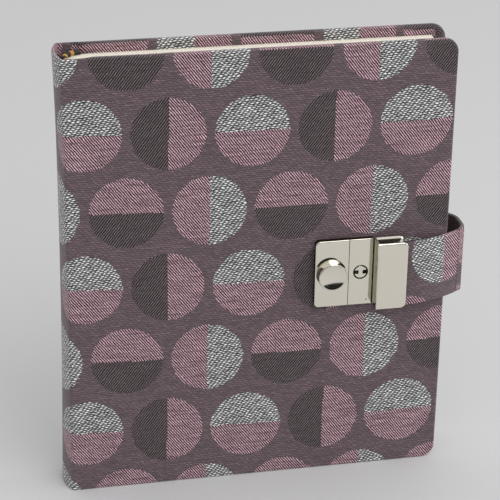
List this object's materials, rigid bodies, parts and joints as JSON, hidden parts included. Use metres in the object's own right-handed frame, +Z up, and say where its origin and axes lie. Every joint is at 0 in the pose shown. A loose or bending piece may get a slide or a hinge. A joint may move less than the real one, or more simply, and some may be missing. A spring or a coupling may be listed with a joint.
{
  "type": "diary with lock",
  "caption": "Cloth-covered hardback diary with a rounded spine, a strap round the fore-edge, a metal hasp and a sliding lock with a keyhole.",
  "frame": {"origin": "middle of the diary's bounding box at its tail edge, where it stands", "axes": "+Z up from tail to head, -Y out of the front cover, +X from the spine to the fore-edge"},
  "size_m": [0.1584, 0.028, 0.18],
  "materials": {
    "cover_cloth": "matte",
    "board": "matte",
    "card": "matte",
    "end_paper": "matte",
    "pages": "matte",
    "band_silk": "satin",
    "gauze": "matte",
    "nickel": "satin",
    "steel": "satin"
  },
  "bodies": {
    "back_cover_and_block": {"back_board": "board", "back_cover_cloth": "cover_cloth", "back_infill_card": "card", "back_pastedown": "end_paper", "spine_cloth": "cover_cloth", "spine_card": "card", "front_joint_cloth": "cover_cloth", "back_joint_cloth": "cover_cloth", "strap_root": "board", "strap_bend": "cover_cloth", "head_band": "band_silk", "tail_band": "band_silk", "spine_mull": "gauze", "front_flyleaf_strip": "end_paper", "back_flyleaf": "end_paper", "section_1_fold": "pages", "section_2_fold": "pages", "section_3_fold": "pages", "section_4": "pages", "section_5": "pages", "section_6": "pages", "section_7": "pages", "section_8": "pages", "section_9": "pages"},
    "front_cover": {"front_board": "board", "front_cover_cloth": "cover_cloth", "front_infill_card": "card", "front_pastedown": "end_paper", "lock_base_plate": "steel", "lock_backing_plate": "steel", "lock_rivets": "nickel", "lock_case": "nickel", "bow_spring": "steel"},
    "front_flyleaf": {"front_flyleaf": "end_paper"},
    "front_leaves": {"section_1_leaves": "pages", "section_2_leaves": "pages", "section_3_leaves": "pages"},
    "strap": {"strap_core": "board", "strap_cloth": "cover_cloth", "hasp_shell": "nickel", "hasp_rivets": "nickel"},
    "lock_slide": {"slide_shell": "nickel", "slide_knob": "nickel", "latch_fork": "steel"},
    "key_plug": {"key_plug": "nickel"}
  },
  "joints": [
    {"name": "front_cover_hinge", "type": "hinge", "parent": "back_cover_and_block", "child": "front_cover", "pos_m": [-0.06745, -0.0055, 0.09], "axis": [0, 0, -1], "range_deg": [0, 165], "deforming": ["front_joint_cloth"]},
    {"name": "front_flyleaf_turn", "type": "hinge", "parent": "back_cover_and_block", "child": "front_flyleaf", "pos_m": [-0.0602, -0.0028, 0.09], "axis": [0, 0, -1], "range_deg": [0, 145]},
    {"name": "front_leaves_turn", "type": "hinge", "parent": "back_cover_and_block", "child": "front_leaves", "pos_m": [-0.0592, -0.0026, 0.09], "axis": [0, 0, -1], "range_deg": [0, 133]},
    {"name": "strap_swing", "type": "hinge", "parent": "back_cover_and_block", "child": "strap", "pos_m": [0.0708, 0.0132, 0.088], "axis": [0, 0, 1], "range_deg": [0, 100], "deforming": ["strap_bend"]},
    {"name": "lock_slide_travel", "type": "slide", "parent": "front_cover", "child": "lock_slide", "axis": [-1, 0, 0], "range_m": [0, 0.0025], "stiffness_N_per_m": 200, "springref_m": -0.002, "deforming": ["bow_spring"]},
    {"name": "key_plug_turn", "type": "hinge", "parent": "front_cover", "child": "key_plug", "pos_m": [0.03585, -0.0079, 0.088], "axis": [0, 1, 0], "range_deg": [0, 90]}
  ],
  "couplings": [
    {"joint": "front_flyleaf_turn", "follows": "front_cover_hinge", "ratio": 0.87},
    {"joint": "front_leaves_turn", "follows": "front_cover_hinge", "ratio": 0.8}
  ]
}
